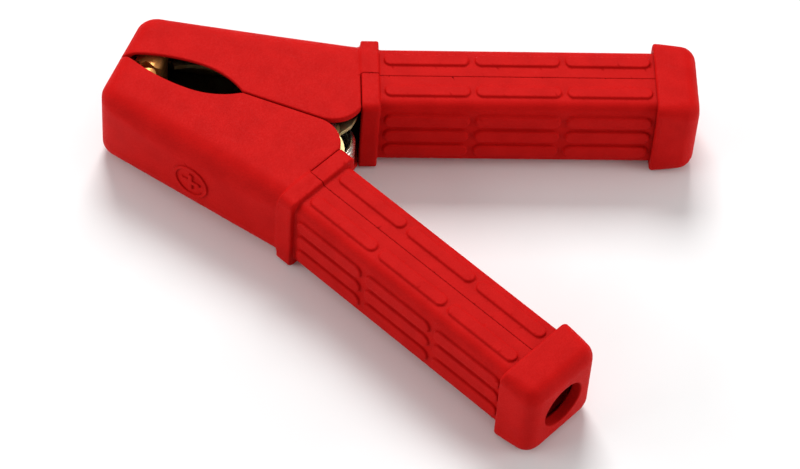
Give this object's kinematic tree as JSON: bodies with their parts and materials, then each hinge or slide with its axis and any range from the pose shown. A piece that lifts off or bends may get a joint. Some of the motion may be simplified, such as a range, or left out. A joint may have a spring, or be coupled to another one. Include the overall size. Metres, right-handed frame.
{
  "type": "insulated sprung lead clip",
  "caption": "Fully insulated spring clip: two hooded arms turn on a pivot, toothed copper jaws close at the nose, and a lead enters through one handle.",
  "frame": {"origin": "centre of the closed clip's overall box, about 17.3 mm behind the pivot pin's centre", "axes": "+Z along the pivot pin, -X towards the nose, +Y towards the upper arm; the clip lies on its side, closed"},
  "size_m": [0.1656, 0.141, 0.0294],
  "materials": {
    "red_insulation": "fine moulded texture, satin",
    "zinc_plated_steel": "yellow passivated zinc plate",
    "copper_contact": "copper plate, lightly tarnished",
    "plain_steel": "bright zinc plate",
    "spring_steel": "drawn wire, bright plate"
  },
  "bodies": {
    "lower_arm": {"lower_outer_shell": "red_insulation", "lower_inner_shell": "red_insulation", "lower_end_cap": "red_insulation", "lower_steel_arm": "zinc_plated_steel", "lower_copper_jaw": "copper_contact", "lower_jaw_rivet": "plain_steel", "pivot_pin": "plain_steel", "pivot_burr": "plain_steel", "cheek_washers": "plain_steel", "spring_sleeve": "plain_steel", "torsion_spring": "spring_steel", "terminal_screw": "plain_steel", "terminal_washer": "plain_steel", "terminal_nut": "plain_steel"},
    "upper_arm": {"upper_outer_shell": "red_insulation", "upper_inner_shell": "red_insulation", "upper_end_cap": "red_insulation", "upper_steel_arm": "zinc_plated_steel", "upper_copper_jaw": "copper_contact", "upper_jaw_rivet": "plain_steel"}
  },
  "joints": [
    {"name": "jaw_hinge", "type": "hinge", "parent": "lower_arm", "child": "upper_arm", "pos_m": [-0.01731, 0, 0], "axis": [0, 0, -1], "range_deg": [0, 40], "stiffness_Nm_per_rad": 1, "springref_deg": -57.3, "deforming": ["torsion_spring"]}
  ]
}
